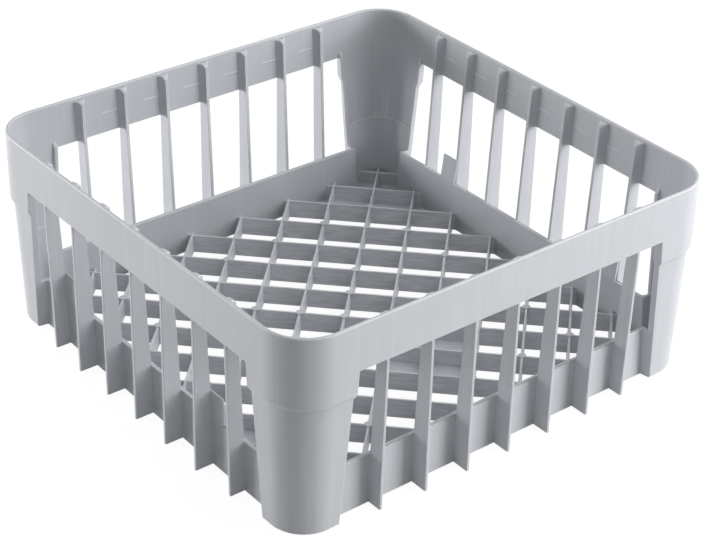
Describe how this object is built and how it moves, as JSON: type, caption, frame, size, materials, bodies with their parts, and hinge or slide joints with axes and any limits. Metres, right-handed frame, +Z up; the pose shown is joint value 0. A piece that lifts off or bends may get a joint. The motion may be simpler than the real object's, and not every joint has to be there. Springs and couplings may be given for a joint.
{
  "type": "dishwasher rack",
  "caption": "Square open basket for glasses and cups: a rim band on four tapered corner posts, slotted walls of upright fins and a diagonal lattice floor.",
  "frame": {"origin": "centre of the square plan, at the level of the feet", "axes": "+Z up, out of the open top; X and Y square to the walls; the walls with tabs face -Y and +Y"},
  "size_m": [0.35, 0.35, 0.1475],
  "materials": {
    "grey_plastic": "satin moulded polypropylene"
  },
  "bodies": {
    "root": {"basket": "grey_plastic"}
  },
  "joints": []
}
